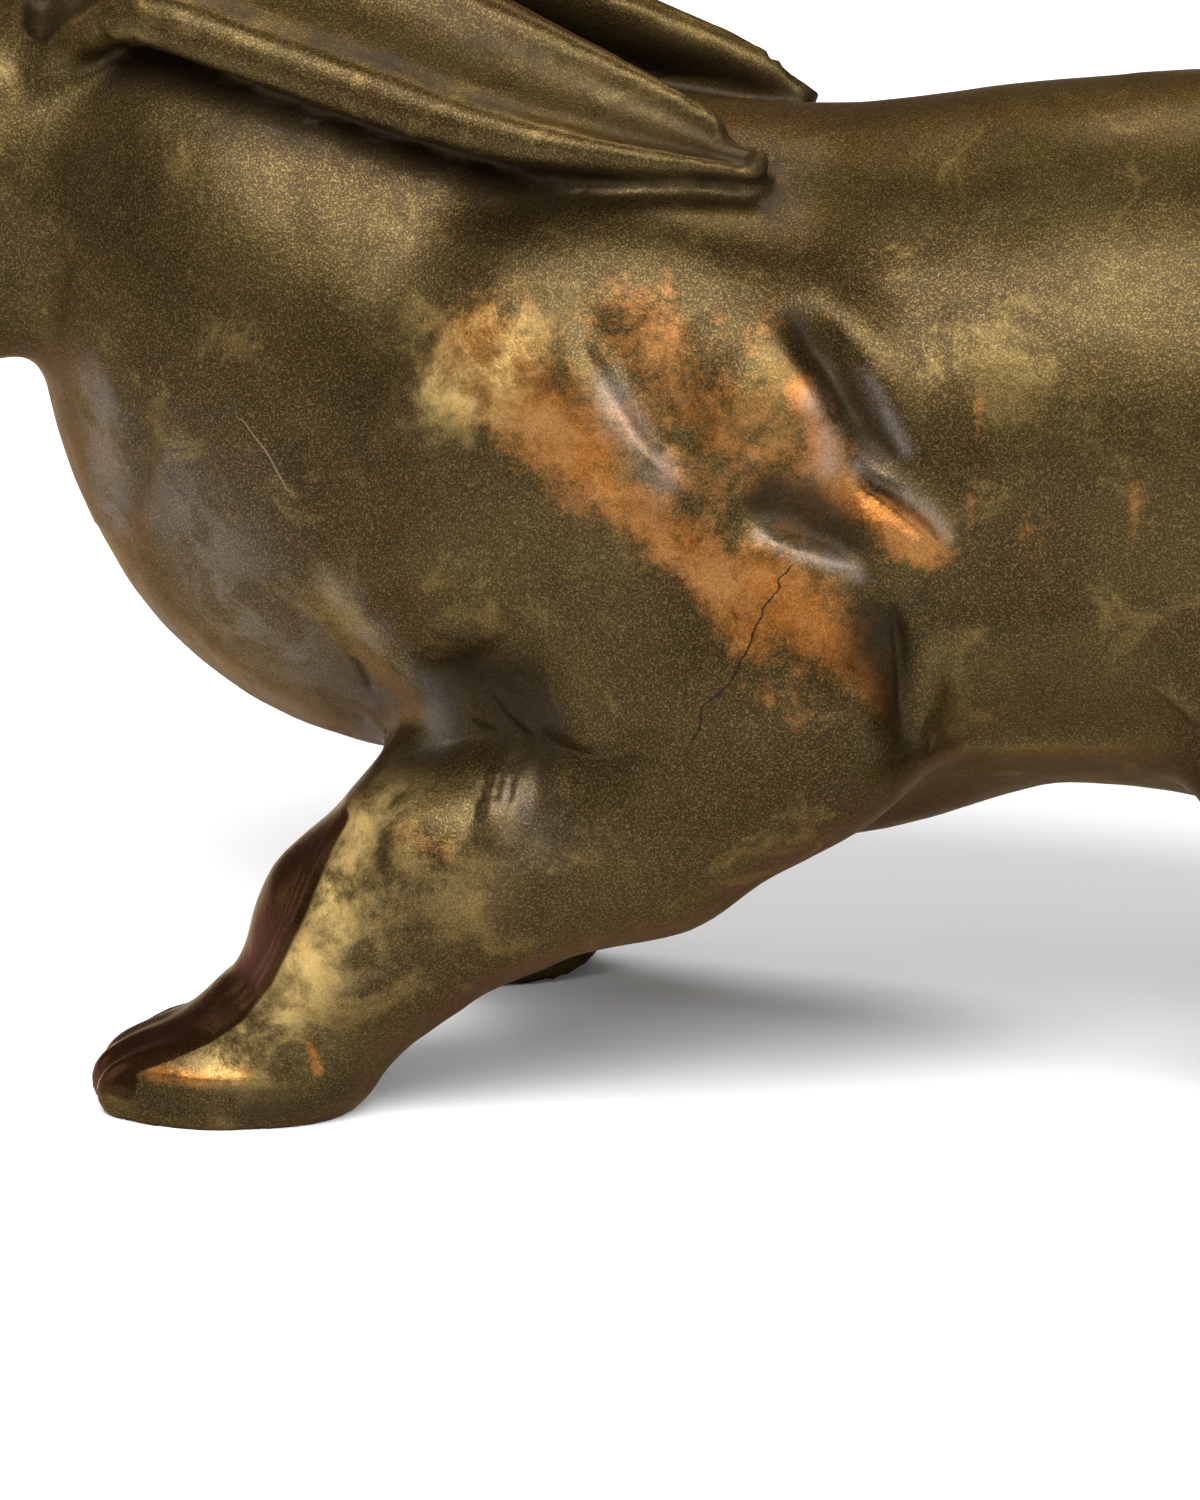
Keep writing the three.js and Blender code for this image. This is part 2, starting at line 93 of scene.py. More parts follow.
# %% The three kinds of mass: an egg, a limb and an ear
def egg(p, centre, radii, pitch=0, yaw=0):
    sp, cp = math.sin(math.radians(pitch)), math.cos(math.radians(pitch))
    sy, cy = math.sin(math.radians(yaw)), math.cos(math.radians(yaw))
    d = p - np.array(centre, float)
    along = d[:, 0] * cy + d[:, 1] * sy
    aside = d[:, 1] * cy - d[:, 0] * sy
    q = np.stack([along * cp - d[:, 2] * sp, aside, along * sp + d[:, 2] * cp], 1) / radii
    near = np.sqrt((q * q).sum(1))
    slope = np.sqrt(((q / radii) ** 2).sum(1))
    return near * (near - 1) / np.maximum(slope, 1e-9)


def press_on(d, p, width, middle, reach, form):
    """Joins a form to the clay, looking only at the points that it can touch."""
    close = (np.abs(p - middle) < reach + width + 4).all(1)
    if close.any():
        d[close] = join(d[close], form(p[close]), width)
    return d


def eggs(p, masses, width, onto=None):
    total = np.full(len(p), 40.0) if onto is None else onto
    for mass in masses:
        total = press_on(total, p, width, mass[0], max(mass[1]), lambda q: egg(q, *mass))
    return total


def limb(p, joints, blend):
    """Joint to joint, each joint with its own radius."""
    total = None
    for (ax, ay, az, ar), (bx, by, bz, br) in zip(joints, joints[1:]):
        bone = np.array([bx - ax, by - ay, bz - az], float)
        d = p - (ax, ay, az)
        t = np.clip(d @ bone / (bone @ bone), 0, 1)
        gap = np.linalg.norm(d - t[:, None] * bone, axis=1) - (ar + (br - ar) * t)
        total = gap if total is None else join(total, gap, blend)
    return total


EAR_WIDTH, EAR_DEPTH, STATIONS = 31, 6.5, 16


def ear_line(s):
    """Even stations along a smooth curve through five points, and the direction at each."""
    keys = [(-86, 8 * s, 157), (-68, 15 * s, 172), (-38, 21 * s, 167), (-6, 25 * s, 157), (26, 26 * s, 149)]
    keys = np.array(keys, float)
    ends = np.vstack([2 * keys[0] - keys[1], keys, 2 * keys[-1] - keys[-2]])
    t = np.linspace(0, 1, 60, endpoint=False)[:, None]
    line = []
    for a, b, c, d in zip(ends, ends[1:], ends[2:], ends[3:]):
        u, v, w = [math.sqrt(np.linalg.norm(end - start)) for start, end in ((a, b), (b, c), (c, d))]
        leaving = ((b - a) / u - (c - a) / (u + v) + (c - b) / v) * v
        coming = ((c - b) / v - (d - b) / (v + w) + (d - c) / w) * v
        bend = (2 * b - 2 * c + leaving + coming) * t**3
        line.append(b + leaving * t + (3 * c - 3 * b - 2 * leaving - coming) * t**2 + bend)
    line = np.vstack(line + [keys[-1:]])
    run = np.concatenate([[0], np.cumsum(np.linalg.norm(np.diff(line, axis=0), axis=1))])
    even = np.linspace(0, run[-1], STATIONS + 1)
    at = np.stack([np.interp(even, run, line[:, m]) for m in range(3)], 1)
    tangent = np.gradient(at, axis=0)
    return at, tangent / np.linalg.norm(tangent, axis=1)[:, None]


def ear(p, s, width, depth, lift):
    at, tangent = ear_line(s)
    outward = np.array([0, 0.62 * s, 0.78])
    t = np.clip(np.linspace(0, 1, STATIONS + 1), 0.05, 0.985)
    share = np.sqrt(np.clip(np.sin(np.pi * t**0.8), 0.02, 1))
    at = at + lift * share[:, None] * outward
    face = outward - (tangent @ outward)[:, None] * tangent
    face /= np.linalg.norm(face, axis=1)[:, None]
    half, thick = width / 2 * share, depth * (0.45 + 0.55 * share)
    value, nearest = np.full(len(p), 40.0), np.full(len(p), np.inf)
    for i in range(STATIONS):
        along = at[i + 1] - at[i]
        d = p - at[i]
        u = np.clip(d @ along / (along @ along), 0, 1)
        d = d - u[:, None] * along
        gap = (d * d).sum(1)
        along = along / np.linalg.norm(along)
        front = face[i] + (face[i + 1] - face[i]) * u[:, None]
        front /= np.linalg.norm(front, axis=1)[:, None]
        side = np.cross(along, front)
        wide, deep = half[i] + (half[i + 1] - half[i]) * u, thick[i] + (thick[i + 1] - thick[i]) * u
        past = ((i == 0) & (u == 0)) | ((i == STATIONS - 1) & (u == 1))
        a, b, c = (d * side).sum(1) / wide, (d * front).sum(1) / deep, np.where(past, d @ along / deep, 0)
        near = np.sqrt(a * a + b * b + c * c)
        slope = np.maximum(np.sqrt((a / wide) ** 2 + (b / deep) ** 2 + (c / deep) ** 2), 1e-9)
        value = np.where(gap < nearest, near * (near - 1) / slope, value)
        nearest = np.minimum(gap, nearest)
    return value


# %% The head, in its own frame: between eyes and ears, tipped up a little
HEAD_AT, HEAD_PITCH, EYE = np.array([-101.0, 0, 139]), math.radians(8), 7


def in_head(p):
    d = p - HEAD_AT
    s, c = math.sin(HEAD_PITCH), math.cos(HEAD_PITCH)
    return np.stack([d[:, 0] * c - d[:, 2] * s, p[:, 1], d[:, 0] * s + d[:, 2] * c], 1)


def head(p):
    q = in_head(p)
    skull = [
        ((8, 0, 5), (28, 21, 23), 4),
        ((-10, 0, 3), (31, 15, 17), -15),
        ((-36, 0, 0), (7, 6, 6.5)),
        ((-24, 0, -14), (12, 8, 7), 8),
    ]
    for s in (-1, 1):
        skull.append(((4, 11 * s, -10), (20, 13.5, 20), 10))
        skull.append(((-6, 14 * s, 14), (12, 6.5, 4.5), 6))
        skull.append(((-29, 5.5 * s, -5), (12, 9, 10.5), 0, 8 * s))
    d = eggs(q, skull, 8)
    for s in (-1, 1):
        d = carve(d, egg(q, (-8, 27.5 * s, 6), (EYE * 1.5, EYE, EYE * 1.25)), 4)
        d = join(d, egg(q, (-8, 18.5 * s, 6), (EYE, EYE, EYE)), 1.5)
    return d


# %% The whole animal
SOFT, FIRM, TIGHT = 26, 12, 5
STANCE, STRIDE, TOE = 36, 22, 9
TRUNK = [
    ((-22, 0, 101), (59, 41, 52.5)),
    ((34, 0, 99), (60, 46, 50), -4),
    ((94, 0, 104), (62, 48, 54), 3),
    ((138, 0, 96), (47, 46, 56), -16),
]
NECK = [((-40, 0, 124), (35, 31, 33), 34), ((-64, 0, 139), (24, 22, 24), 24)]
BREAST = [((26, 0, 66), (46, 26, 29), -3)]


def flank(s):
    return [
        ((12, 33 * s, 100), (42, 20, 42), -28),
        ((28, 36 * s, 78), (27, 19, 26), -34),
        ((142, 33 * s, 76), (45, 24, 52), 24),
        ((138, 38 * s, 60), (25, 19, 26), 20),
    ]


def legs(s, back):
    y = STANCE * s
    arm = [(33 + back, y, 67, 20), (13 + back, y, 51, 18), (-15.2 + back, y, 41.2, 18.2)]
    wrist = [(-29.2 + back, y, 29.2, 16.4), (-39 + back, y, 15, 12.5)]
    shank = [(134, 39 * s, 48, 20), (162, 40 * s, 32, 19), (184, 40 * s, 18, 13)]
    foot = [(187, 40 * s, 10, 11), (150, 41 * s, 9, 12.5), (122, 42 * s, 6.5, 12)]
    return [arm + wrist, shank, foot]


def toes(s, x, reach):
    fan = (-1.5, -0.5, 0.5, 1.5)
    size = (reach, TOE * 0.52, 7)
    return [((x + abs(n) * 2.2, STANCE * s + n * TOE * 0.8, 6.2), size, -8, n * 5) for n in fan]


def ear_blade(p, s):
    hollow = ear(p, s, EAR_WIDTH * 0.6, EAR_DEPTH * 0.6, EAR_DEPTH * 0.95)
    return carve(ear(p, s, EAR_WIDTH, EAR_DEPTH, 0), hollow, 3)


def anatomy(p):
    x, y, z = p.T
    d = eggs(p, BREAST, FIRM, join(eggs(p, TRUNK, SOFT), eggs(p, NECK, SOFT), SOFT))
    for s, back in ((-1, 0), (1, STRIDE)):
        d = eggs(p, flank(s) + [((-50.5 + back, STANCE * s, 6), (19.5, 15, 11), -14)], FIRM, d)
        for joints in legs(s, back):
            ends = np.array(joints)
            low, high = ends[:, :3].min(0), ends[:, :3].max(0)
            reach = (high - low) / 2 + ends[:, 3].max()
            d = press_on(d, p, FIRM, (low + high) / 2, reach, lambda q: limb(q, joints, TIGHT))
    d = join(d, only(p, (x < -40) & (z > 100), head), 8)
    d = eggs(p, [((187, 0, 91), (14, 14, 20), -22)], TIGHT, d)
    for s, back in ((-1, 0), (1, STRIDE)):
        d = eggs(p, toes(s, -60 + back, 13) + toes(s * (1 + 5 / STANCE), 118, 14), 3, d)
        d = join(d, only(p, (z > 120) & (x < 60) & (y * s > -10), lambda q: ear_blade(q, s)), TIGHT)
    return d


def standing(p):
    """The animal with its soles ground flat."""
    return np.maximum(anatomy(p), DRAWN_AT[2] - p[:, 2])


def slope_at(form, p, step=0.05):
    here = form(p)
    slope = np.stack([(form(p + step * axis) - here) / step for axis in np.eye(3)], 1)
    return here, slope


# %% [markdown]
# The folds, and the marks of the patina and of painted highlights and shade, are lines drawn over the
# photograph, in its own pixels. Each point is sent out from the camera until it meets the animal, so a line
# lies on the skin where it is seen.

# %% The photograph's view: 10 degrees to the animal's rear of square, 17 degrees above
AZIMUTH, ELEVATION = math.radians(10), math.radians(17)
DISTANCE = 1200  # mm, from the camera to the point that it looks at
AIM = np.array([0, DRAWN_AT[1], 48.9])
WIDE, TALL, FOCAL = 1200, 1500, 7800  # pixels of the photograph
AWAY = np.array([
    math.sin(AZIMUTH) * math.cos(ELEVATION),
    -math.cos(AZIMUTH) * math.cos(ELEVATION),
    math.sin(ELEVATION),
])
RIGHT = np.array([math.cos(AZIMUTH), math.sin(AZIMUTH), 0])
UP = np.cross(AWAY, RIGHT)


def on_skin(lines):
    """The lines on the skin, to a tenth of a millimetre. A point that misses the animal is left out."""
    pixels = np.concatenate([np.array(line, float) for line in lines])
    ray = -FOCAL * AWAY + (pixels[:, :1] - WIDE / 2) * RIGHT - (pixels[:, 1:] - TALL / 2) * UP
    ray /= np.linalg.norm(ray, axis=1)[:, None]
    gone = np.full(len(pixels), DISTANCE - 200.0)
    for _ in range(120):
        gone += 0.9 * np.clip(anatomy(AIM + DISTANCE * AWAY + gone[:, None] * ray), -5, 20)
    found = AIM + DISTANCE * AWAY + gone[:, None] * ray
    met = np.abs(anatomy(found)) < 0.5
    ends = np.cumsum([len(line) for line in lines])[:-1]
    return [part[hit] for part, hit in zip(np.split(found.round(1), ends), np.split(met, ends))]


def drawn(strokes):
    """Strokes whose last entry, a line over the photograph, is laid on the skin."""
    lines = on_skin([stroke[-1] for stroke in strokes])
    return [(*stroke[:-1], line) for stroke, line in zip(strokes, lines)]


# %% [markdown]
# Each fold has a width and a height in millimetres (below zero for a crease), a lean (its gentle side: below
# zero right of the line's course, above zero left of it) and its line. They follow the photograph: skin
# gathered behind the shoulder blade, the line behind the upper arm, the armpit, the breast, and the edge of
# the flank above the belly.

# %% Folds on both sides of the body
BODY_FOLDS = drawn([
    # Two ridges behind the shoulder blade, with a soft bump between them and a valley beside each
    (2.4, 1.6, -0.9, [(566, 318), (580, 342), (590, 362), (603, 388), (620, 418), (639, 448), (663,
        478), (686, 500)]),
    (3.4, -1.2, 0.9, [(584, 308), (596, 330), (608, 352), (628, 392), (648, 422), (672, 452), (694,
        478)]),
    (8, 1.2, 0, [(715, 380), (762, 420), (800, 458)]),
    (3, 1.2, -0.9, [(760, 306), (771, 330), (782, 352), (804, 388), (821, 428), (834, 472)]),
    (3.2, -2, 0.2, [(784, 300), (798, 322), (812, 345), (838, 380), (862, 418), (884, 452), (906,
        480)]),
    (1.9, 1.1, 0.9, [(822, 292), (836, 315), (850, 338), (872, 376), (892, 416), (908, 452), (920,
        478)]),
    # The second lip, which turns down behind the shoulder, and the ridge under it
    (1.6, -1.2, 0, [(826, 438), (846, 462), (868, 492), (896, 510), (926, 534), (946, 560)]),
    (1.9, 1.1, 0.4, [(848, 460), (880, 478), (905, 492), (930, 510), (948, 536), (946, 560)]),
    (3.8, 0.5, -0.4, [(826, 478), (866, 506), (903, 529), (932, 556), (940, 578)]),
    # A shallow hollow, closed below by a thin ridge
    (5, -1.7, 0.3, [(742, 486), (790, 508), (830, 528), (866, 550)]),
    (1.9, 1.1, -1, [(738, 516), (766, 540), (791, 552), (826, 562), (860, 575), (888, 592)]),
    # The crease behind the upper arm, and the strip of skin to its right
    (1.5, -1.2, -0.5, [(882, 590), (893, 610), (903, 636), (909, 688), (908, 730), (909, 764)]),
    (0.8, -0.9, 0, [(896, 600), (905, 640), (910, 690), (909, 740)]),
    (4.2, -1.1, 0, [(880, 600), (890, 650), (895, 700), (896, 745)]),
    (2.4, 1, 0.8, [(919, 612), (922, 650), (922, 700), (919, 748)]),
    (4.6, -1.3, 0, [(856, 596), (866, 636), (872, 684)]),
    # The edge of the flank above the belly, and the start of the knee
    (2, 1, -0.6, [(920, 762), (936, 752), (960, 747), (1020, 742), (1110, 743), (1200, 745)]),
    (1.8, 0.9, 0, [(1146, 680), (1170, 690), (1192, 708), (1204, 728)]),
    # The edge of the shoulder over the breast
    (3, 1.5, -0.9, [(296, 536), (330, 575), (342, 594), (381, 644), (418, 680), (434, 727), (438,
        752)]),
    # The throat and the breast
    (3.6, -1.2, 0, [(152, 452), (124, 486), (108, 518), (106, 556)]),
    (3, 0.9, 0, [(128, 412), (126, 450), (118, 490)]),
    (3, 0.9, 0, [(160, 408), (164, 455), (154, 510), (150, 560)]),
    (3, -0.7, 0, [(144, 410), (146, 450), (138, 500)]),
    (3.2, -0.8, 0, [(184, 412), (198, 470), (194, 530)]),
    (3.2, -0.8, 0.5, [(268, 430), (288, 470), (308, 512)]),
])
FAR_SHARE = 0.65  # the folds are plainer on the right side

# %% Folds round the left foreleg only
ARM_FOLDS = drawn([
    # The armpit
    (0.6, -0.6, 0, [(931, 735), (928, 754)]),
    (6.5, -2, 0.5, [(430, 640), (455, 672), (490, 700), (530, 725), (566, 748)]),
    (1.2, 0.5, 0, [(455, 705), (490, 728), (518, 758)]),
    (1, 0.45, 0, [(478, 690), (505, 715), (534, 746)]),
    (0.7, -0.5, 0, [(352, 647), (365, 664), (375, 694)]),
    # Under the upper arm, and the elbow with its three short wrinkles
    (1.6, -1.5, -0.5, [(396, 766), (430, 746), (470, 731), (510, 736), (549, 747), (589, 760), (606,
        757), (646, 742), (694, 738)]),
    (8, 1.2, 0, [(478, 800), (530, 806)]),
    (0.6, -0.45, 0, [(488, 776), (485, 806)]),
    (0.6, -0.45, 0, [(500, 774), (498, 806)]),
    (0.6, -0.45, 0, [(513, 776), (511, 808)]),
    # The front edge of the foreleg, and creases beside it
    (2.4, 0.9, 0.6, [(345, 812), (334, 836), (319, 871), (304, 908), (282, 952), (267, 982), (238,
        1019), (204, 1041)]),
    (0.8, -0.5, 0, [(343, 957), (357, 974), (362, 1000)]),
    (0.8, -0.5, 0, [(358, 955), (372, 975), (376, 999)]),
    (0.8, -0.45, 0, [(328, 962), (343, 985), (348, 1010)]),
    (0.7, -0.45, 0, [(309, 1045), (314, 1056), (318, 1072)]),
    # The edge of the paw, and the toes' long lines
    (1, -0.55, 0, [(118, 1072), (150, 1084), (200, 1092), (262, 1094), (320, 1086), (352, 1068)]),
    (1.3, 0.5, 0, [(122, 1064), (160, 1075), (210, 1082), (262, 1084), (318, 1076), (348, 1058)]),
    (0.7, -0.35, 0, [(152, 1106), (200, 1116), (262, 1118), (316, 1112)]),
    (0.6, -0.3, 0, [(322, 842), (306, 880), (292, 915), (276, 950), (256, 985), (226, 1015)]),
    (0.6, -0.3, 0, [(312, 850), (296, 884), (284, 915), (268, 948), (246, 980), (212, 1010)]),
])

# %% Nose, mouth and lids, in the head's frame, for the left side; the right side mirrors them
def on_head(line):
    """A line near the head's surface, pressed onto it."""
    s, c = math.sin(HEAD_PITCH), math.cos(HEAD_PITCH)
    x, y, z = np.array(line, float).T
    p = HEAD_AT + np.stack([x * c + z * s, y, z * c - x * s], 1)
    for _ in range(30):
        here, slope = slope_at(anatomy, p)
        p = p - (np.clip(here, -1, 1) / np.maximum((slope**2).sum(1), 0.25))[:, None] * slope
    return in_head(p).round(1)


NOSTRIL = [(-43.5, -1, 3.6), (-42.8, -3.2, 2.4), (-41, -5.4, 1.6), (-39, -6.6, 2.2)]
LIP_CLEFT = [(-43.4, -0.2, -1), (-42.8, -0.2, -4), (-41.5, -0.2, -7), (-40, -0.2, -10)]
MOUTH = [
    (-40.5, -0.2, -10.5), (-40, -3, -12.5), (-37.5, -6.5, -13), (-33.5, -9.5, -13), (-29, -12, -12),
    (-24.5, -14, -10),
]
NOSE_SIDE = [(-38, -8, 4.5), (-34, -10.5, 2), (-30.5, -13, -1.5)]
JAW = [(-22, -13, -14), (-16, -16, -17), (-9, -17, -20)]
FACE_FOLDS = [
    (1.3, -1.7, 0, on_head(NOSTRIL)),
    (1.1, -1.3, 0, on_head(LIP_CLEFT)),
    (1.3, -1.7, 0, on_head(MOUTH)),
    (1.5, -0.7, 0, on_head(NOSE_SIDE)),
    (2.2, -0.8, 0, on_head(JAW)),
]
LID_HALF, LID_RISE = 8.4, 5.6

# Casting pits: how wide each is, and where.
PIT_DEPTH = 0.5
PITS = drawn([
    (0.8, [(310, 718)]),
    (0.7, [(360, 717)]),
    (0.8, [(370, 738)]),
    (0.7, [(336, 728)]),
    (0.7, [(347, 735)]),
    (0.8, [(385, 728)]),
    (0.6, [(405, 700)]),
    (0.6, [(569, 784)]),
    (0.7, [(665, 445)]),
    (0.7, [(141, 501)]),
    (0.6, [(322, 722)]),
    (0.6, [(352, 728)]),
])


# %% Measure how a point lies to a drawn line
def beside(p, line):
    """Distance to the line, how far along it the nearest point is, its length, and the side of it."""
    line = np.array(line, float)
    best, along, run = np.full(len(p), np.inf), np.zeros(len(p)), 0.0
    side = np.zeros(len(p))
    for a, b in zip(line, line[1:]):
        span = b - a
        size = np.linalg.norm(span)
        t = np.clip((p - a) @ span / size**2, 0, 1)
        off = p - a - t[:, None] * span
        gap = np.linalg.norm(off, axis=1)
        closer = gap < best
        best[closer], along[closer] = gap[closer], (run + t * size)[closer]
        side[closer] = np.sign(span[0] * off[:, 2] - span[2] * off[:, 0])[closer]
        run += size
    return best, along, run, side


LEAN = 2.5  # how much wider than its steep side the gentle side of a fold can be
FADE, BLUNT = 0.36, 0.05  # shares of a line's length: where it fades at each end, and how abruptly it begins


def fold(p, width, height, lean, line):
    gap, along, run, side = beside(p, line)
    taper = smoothstep(0, FADE * run, np.minimum(along, run - along) + BLUNT * run)
    wide = width * np.where(side * lean > 0, 1 + LEAN * abs(lean), 1)
    sharpness = 1.5 if height < 0 and width < 2 else 2
    return height * taper * np.exp(-((gap / wide) ** sharpness))


def near(p, where, reach):
    """Which points lie within reach of any point of the line."""
    where = np.array(where, float)
    return ((p > where.min(0) - reach) & (p < where.max(0) + reach)).all(1)


def lay(p, folds, share=1.0):
    total = np.zeros(len(p))
    for width, height, lean, line in folds:
        close = near(p, line, 2.6 * width * (1 + LEAN * abs(lean)))
        if close.any():
            total[close] += share * fold(p[close], width, height, lean, line)
    return total


def lids(q):
    """A raised rim round each eye, in the head's frame."""
    angle = np.arctan2((q[:, 2] - 6) / LID_RISE, (q[:, 0] + 8) / LID_HALF)
    rim = np.hypot((q[:, 2] - 6) / LID_RISE, (q[:, 0] + 8) / LID_HALF)
    gap = (rim - 1) * (LID_HALF * np.cos(angle) ** 2 + LID_RISE * np.sin(angle) ** 2)
    lid = 1.0 * np.exp(-((gap / 1.1) ** 2)) - 0.6 * np.exp(-(((gap + 1.5) / 0.8) ** 2))
    return lid * (np.abs(q[:, 1]) > 12) * (np.abs(gap) < 5)


def relief(p):
    mirrored = p * (1, -1, 1)
    total = lay(p, BODY_FOLDS) + lay(p, ARM_FOLDS) + lay(mirrored, BODY_FOLDS, FAR_SHARE)
    face = p[:, 0] < -75
    q = in_head(p[face])
    left = np.stack([q[:, 0], -np.abs(q[:, 1]), q[:, 2]], 1)
    total[face] += lay(left, FACE_FOLDS) + lids(q)
    for wide, spots in PITS:
        for spot in spots:
            close = near(p, [spot], 3)
            total[close] -= PIT_DEPTH * np.exp(-((np.linalg.norm(p[close] - spot, axis=1) / wide) ** 2))
    ground = p[:, 2] - DRAWN_AT[2]
    return total * smoothstep(1, 6, ground)


# %% [markdown]
# The skin starts as a copy of the CAD node. Its double corners are merged, a voxel remesh gives it even
# squares, and the squares are split where small folds need them. Then every corner is moved onto the
# anatomy.

# %% Copy the CAD rabbit, merge it and remesh it evenly
VOXEL = 0.0025
skin = bpy.data.objects.new("rabbit_skin", rabbit.data.copy())
bpy.context.scene.collection.objects.link(skin)
bm = bmesh.new()
bm.from_mesh(skin.data)
bmesh.ops.remove_doubles(bm, verts=bm.verts, dist=1e-6)
bm.to_mesh(skin.data)
bm.free()
remesh = skin.modifiers.new("even skin", "REMESH")
remesh.mode = "VOXEL"
remesh.voxel_size = VOXEL
skin.data = bpy.data.meshes.new_from_object(skin.evaluated_get(bpy.context.evaluated_depsgraph_get()))
skin.modifiers.clear()
print("even skin:", len(skin.data.vertices), "corners,", len(skin.data.polygons), "faces")


# %% Read and write the corners in the anatomy's millimetres
def corners(mesh):
    flat = np.empty(len(mesh.vertices) * 3)
    mesh.vertices.foreach_get("co", flat)
    return flat.reshape(-1, 3) / MM + DRAWN_AT


def place(mesh, p):
    mesh.vertices.foreach_set("co", ((p - DRAWN_AT) * MM).ravel())
    mesh.update()


def neighbours(mesh):
    pairs = np.empty(len(mesh.edges) * 2, int)
    mesh.edges.foreach_get("vertices", pairs)
    return pairs.reshape(-1, 2)


def average(values, pairs):
    """The mean of each corner's neighbours."""
    count = np.bincount(pairs.ravel(), minlength=len(values))[:, None]
    total = np.stack([
        np.bincount(pairs[:, 0], v[pairs[:, 1]], len(v)) + np.bincount(pairs[:, 1], v[pairs[:, 0]], len(v))
        for v in values.reshape(len(values), -1).T
    ], 1)
    return (total / np.maximum(count, 1)).reshape(values.shape)


def settle(p, pairs, rounds):
    """Evens the corners out along the surface and brings them back onto it."""
    for _ in range(rounds):
        p = p + 0.5 * (average(p, pairs) - p)
        for _ in range(2):
            here, slope = slope_at(standing, p)
            steep = np.maximum((slope**2).sum(1), 0.25)
            p = p - (np.clip(here, -1, 1) / steep)[:, None] * slope
    return p


# %% Split the squares where the small folds are
def refine(mesh, wanted):
    middles = np.empty(len(mesh.polygons) * 3)
    mesh.polygons.foreach_get("center", middles)
    picked = set(np.nonzero(wanted(middles.reshape(-1, 3) / MM + DRAWN_AT))[0].tolist())
    bm = bmesh.new()
    bm.from_mesh(mesh)
    edges = {edge for face in bm.faces if face.index in picked for edge in face.edges}
    bmesh.ops.subdivide_edges(bm, edges=list(edges), cuts=1, use_grid_fill=True)
    bm.to_mesh(mesh)
    bm.free()


def shown_side(p):
    x, y, z = p.T
    ears = (z > 138) & (x < 42)
    return ((x < 66) & (y < -22) & (z > 48)) | (x < -70) | ((y < -22) & (x < 0) & (z < 52)) | ears


def on_folds(p):
    found = np.zeros(len(p), bool)
    for width, _, _, line in BODY_FOLDS + ARM_FOLDS:
        if width > 3:
            continue
        close = np.nonzero(near(p, line, 6))[0]
        found[close[beside(p[close], line)[0] < 1.8 * width + 1.2]] = True
    q = in_head(p)
    face = (p[:, 0] < -95) & (np.hypot(q[:, 0] + 8, q[:, 2] - 6) < 12)
    return found | face | (q[:, 0] < -24) & (q[:, 2] < 8)


refine(skin.data, shown_side)
place(skin.data, settle(corners(skin.data), neighbours(skin.data), 4))
refine(skin.data, on_folds)
base = settle(corners(skin.data), neighbours(skin.data), 2)
print("fine skin:", len(skin.data.vertices), "corners,", len(skin.data.polygons), "faces")

# %% Carve the folds along the surface's own slope, and add the unevenness of hand-worked clay
_, out = slope_at(standing, base)
out /= np.maximum(np.linalg.norm(out, axis=1), 1e-6)[:, None]
carved = relief(base)
THUMB, FINGERTIP, UNEVEN = 17, 6, 0.32  # mm: how wide the clay's dents are, and how high
clay = np.array([noise.noise(Vector(c) / THUMB) + 0.4 * noise.noise(Vector(c) / FINGERTIP) for c in base])
above = smoothstep(0.5, 6, base[:, 2] - DRAWN_AT[2])
shaped = base + out * (carved + UNEVEN * clay * above)[:, None]
low, high = [np.array(corner) / MM + DRAWN_AT for corner in loaded_size]
shaped = np.clip(shaped, low, high)
place(skin.data, shaped)
for face in skin.data.polygons:
    face.use_smooth = True
triangles = sum(len(face.vertices) - 2 for face in skin.data.polygons)
print("folds from", round(carved.min(), 2), "to", round(carved.max(), 2), "mm;", triangles, "triangles")

# %% [markdown]
# The patina follows the shape: worn and golden on the crests, coppery where the brown has been rubbed
# through. In the hollows and creases it is darker, partly dark wax and partly painted shade, and the throat
# under the head and the jaw's underside carry painted shade. Grey along the sharp ridges is painted
# highlight, as is the gold on the shoulder's top; the gold down the foreleg is partly its own patina, partly
# painted highlight. Each of these is a value stored at the corners of the mesh.

# %% Patina colours and painted light and shade: width in millimetres, strength, and a line over the photograph
COPPER = drawn([
    (9, 1, [(478, 352), (500, 375), (545, 415), (590, 455)]),
    (6, 1, [(540, 395), (580, 440)]),
    (6, 0.85, [(605, 485), (650, 520), (700, 560), (735, 600), (755, 630)]),
    (11, 0.55, [(640, 345), (680, 380), (740, 420), (790, 460)]),
    (7.5, 1.05, [(760, 585), (800, 612), (838, 640)]),
    (3, 1, [(800, 392), (816, 430), (830, 475)]),
    (4, 1, [(840, 492), (880, 516), (925, 548)]),
    (7, 0.5, [(640, 430), (700, 490)]),
    (4, 0.8, [(850, 640), (868, 668), (885, 702)]),
    (4, 0.42, [(745, 690), (790, 705), (835, 715)]),
    (1.7, 0.9, [(127, 1060), (160, 1073), (200, 1079), (245, 1072)]),
    (2.2, 0.6, [(300, 930), (310, 960)]),
    (3, 0.5, [(400, 830), (440, 850)]),
    (0.9, 0.9, [(309, 1045), (314, 1056), (318, 1072)]),
])
